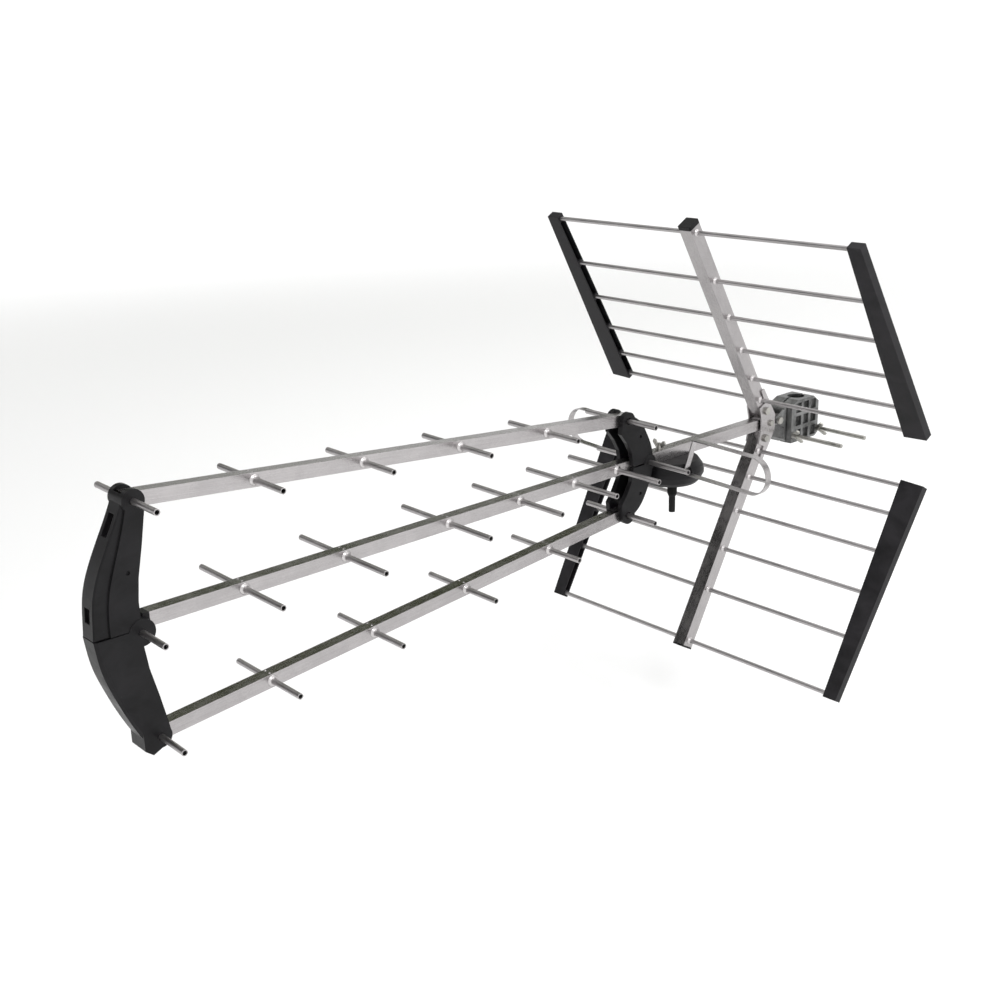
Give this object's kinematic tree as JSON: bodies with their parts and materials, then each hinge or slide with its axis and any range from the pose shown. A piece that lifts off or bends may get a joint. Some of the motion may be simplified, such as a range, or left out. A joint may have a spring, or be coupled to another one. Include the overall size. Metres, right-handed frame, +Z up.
{
  "type": "yagi antenna",
  "caption": "Tri-boom UHF yagi antenna: three square booms with director rods, folded dipole in a black housing, folding corner reflector, tilting mast clamp with U-bolt.",
  "frame": {"origin": "on the mast axis, at the middle of the mast clamp and the height of the main boom", "axes": "+Z up along the mast, -Y forward along the main boom towards the front bracket, +X along the director rods to the wing nut side"},
  "size_m": [0.57, 1.1914, 0.6294],
  "materials": {
    "aluminium": "brushed, slightly oxidised",
    "black_plastic": "satin moulded",
    "cast_clamp": "die cast, tumbled",
    "zinc_steel": "zinc plated",
    "rubber": "matte",
    "board": "lacquered circuit board",
    "brass_nickel": "nickel plated"
  },
  "bodies": {
    "clamp_fixed": {"clamp_body": "cast_clamp", "u_bolt": "zinc_steel", "tilt_bolt": "zinc_steel"},
    "jaw": {"clamp_jaw": "cast_clamp"},
    "nut_front": {"clamp_wing_nut_front": "zinc_steel"},
    "nut_rear": {"clamp_wing_nut_rear": "zinc_steel"},
    "upper_panel": {"upper_reflector_arm": "aluminium", "upper_arm_plug": "black_plastic", "upper_reflector_rods": "aluminium", "upper_cap_left": "black_plastic", "upper_cap_right": "black_plastic"},
    "lower_panel": {"lower_reflector_arm": "aluminium", "lower_arm_plug": "black_plastic", "lower_reflector_rods": "aluminium", "lower_cap_left": "black_plastic", "lower_cap_right": "black_plastic"},
    "dipole_nut": {"dipole_wing_nut": "zinc_steel"},
    "boot": {"connector_boot": "rubber"},
    "upper_front_link": {"front_bracket_upper": "black_plastic"},
    "upper_boom_link": {"upper_boom": "aluminium", "director_upper_1": "aluminium", "director_upper_2": "aluminium", "director_upper_3": "aluminium", "director_upper_4": "aluminium", "director_upper_5": "aluminium", "director_upper_6": "aluminium"},
    "upper_rear_link": {"rear_bracket_upper": "black_plastic"},
    "lower_front_link": {"front_bracket_lower": "black_plastic"},
    "lower_boom_link": {"lower_boom": "aluminium", "director_lower_1": "aluminium", "director_lower_2": "aluminium", "director_lower_3": "aluminium", "director_lower_4": "aluminium", "director_lower_5": "aluminium", "director_lower_6": "aluminium"},
    "lower_rear_link": {"rear_bracket_lower": "black_plastic"},
    "antenna": {"balun_board": "board", "boom_nose": "black_plastic", "bracket_bolt": "zinc_steel", "bracket_spacers": "aluminium", "dipole_bolt": "zinc_steel", "dipole_housing": "black_plastic", "dipole_left": "aluminium", "dipole_right": "aluminium", "director_main_1": "aluminium", "director_main_2": "aluminium", "director_main_3": "aluminium", "director_main_4": "aluminium", "director_main_5": "aluminium", "director_main_6": "aluminium", "director_main_7": "aluminium", "director_main_8": "aluminium", "f_connector": "brass_nickel", "fold_bolts": "zinc_steel", "housing_lid": "black_plastic", "main_boom": "aluminium", "reflector_bracket": "aluminium", "terminal_screws": "zinc_steel"}
  },
  "joints": [
    {"name": "elevation_tilt", "type": "hinge", "parent": "clamp_fixed", "child": "antenna", "pos_m": [0, -0.056, 0], "axis": [1, 0, 0], "range_deg": [-12, 12]},
    {"name": "jaw_slide", "type": "slide", "parent": "clamp_fixed", "child": "jaw", "axis": [1, 0, 0], "range_m": [0, 0.045]},
    {"name": "clamp_nut_front_turn", "type": "hinge", "parent": "jaw", "child": "nut_front", "pos_m": [0.0201, -0.0295, -0.0275], "axis": [1, 0, 0], "continuous": true},
    {"name": "clamp_nut_rear_turn", "type": "hinge", "parent": "jaw", "child": "nut_rear", "pos_m": [0.0201, 0.0295, -0.0275], "axis": [1, 0, 0], "continuous": true},
    {"name": "upper_reflector_fold", "type": "hinge", "parent": "antenna", "child": "upper_panel", "pos_m": [0, -0.088, 0.02079], "axis": [1, 0, 0], "range_deg": [0, 38]},
    {"name": "lower_reflector_fold", "type": "hinge", "parent": "antenna", "child": "lower_panel", "pos_m": [0, -0.088, -0.02079], "axis": [-1, 0, 0], "range_deg": [0, 30]},
    {"name": "dipole_nut_turn", "type": "hinge", "parent": "antenna", "child": "dipole_nut", "pos_m": [0, -0.308, 0.008], "axis": [0, 0, 1], "continuous": true},
    {"name": "upper_boom_fold", "type": "hinge", "parent": "antenna", "child": "upper_front_link", "pos_m": [0, -1.101, -0.009], "axis": [-1, 0, 0], "range_deg": [0, 7]},
    {"name": "upper_boom_swing", "type": "hinge", "parent": "upper_front_link", "child": "upper_boom_link", "pos_m": [0, -1.094, 0.1296], "axis": [-1, 0, 0], "range_deg": [-8.5, 0.5]},
    {"name": "upper_rear_swing", "type": "hinge", "parent": "antenna", "child": "upper_rear_link", "pos_m": [0, -0.343, 0], "axis": [-1, 0, 0], "range_deg": [-0.5, 15]},
    {"name": "lower_boom_fold", "type": "hinge", "parent": "antenna", "child": "lower_front_link", "pos_m": [0, -1.101, -0.009], "axis": [1, 0, 0], "range_deg": [0, 7]},
    {"name": "lower_boom_swing", "type": "hinge", "parent": "lower_front_link", "child": "lower_boom_link", "pos_m": [0, -1.094, -0.1296], "axis": [1, 0, 0], "range_deg": [-8.5, 0.5]},
    {"name": "lower_rear_swing", "type": "hinge", "parent": "antenna", "child": "lower_rear_link", "pos_m": [0, -0.343, 0], "axis": [1, 0, 0], "range_deg": [-0.5, 15]},
    {"name": "boot_slide", "type": "slide", "parent": "antenna", "child": "boot", "axis": [0, 0, -1], "range_m": [0, 0.022]}
  ],
  "couplings": [
    {"joint": "upper_boom_swing", "follows": "upper_boom_fold", "ratio": -1.12},
    {"joint": "upper_rear_swing", "follows": "upper_boom_fold", "ratio": 2.04},
    {"joint": "lower_boom_swing", "follows": "lower_boom_fold", "ratio": -1.11},
    {"joint": "lower_rear_swing", "follows": "lower_boom_fold", "ratio": 1.79}
  ]
}
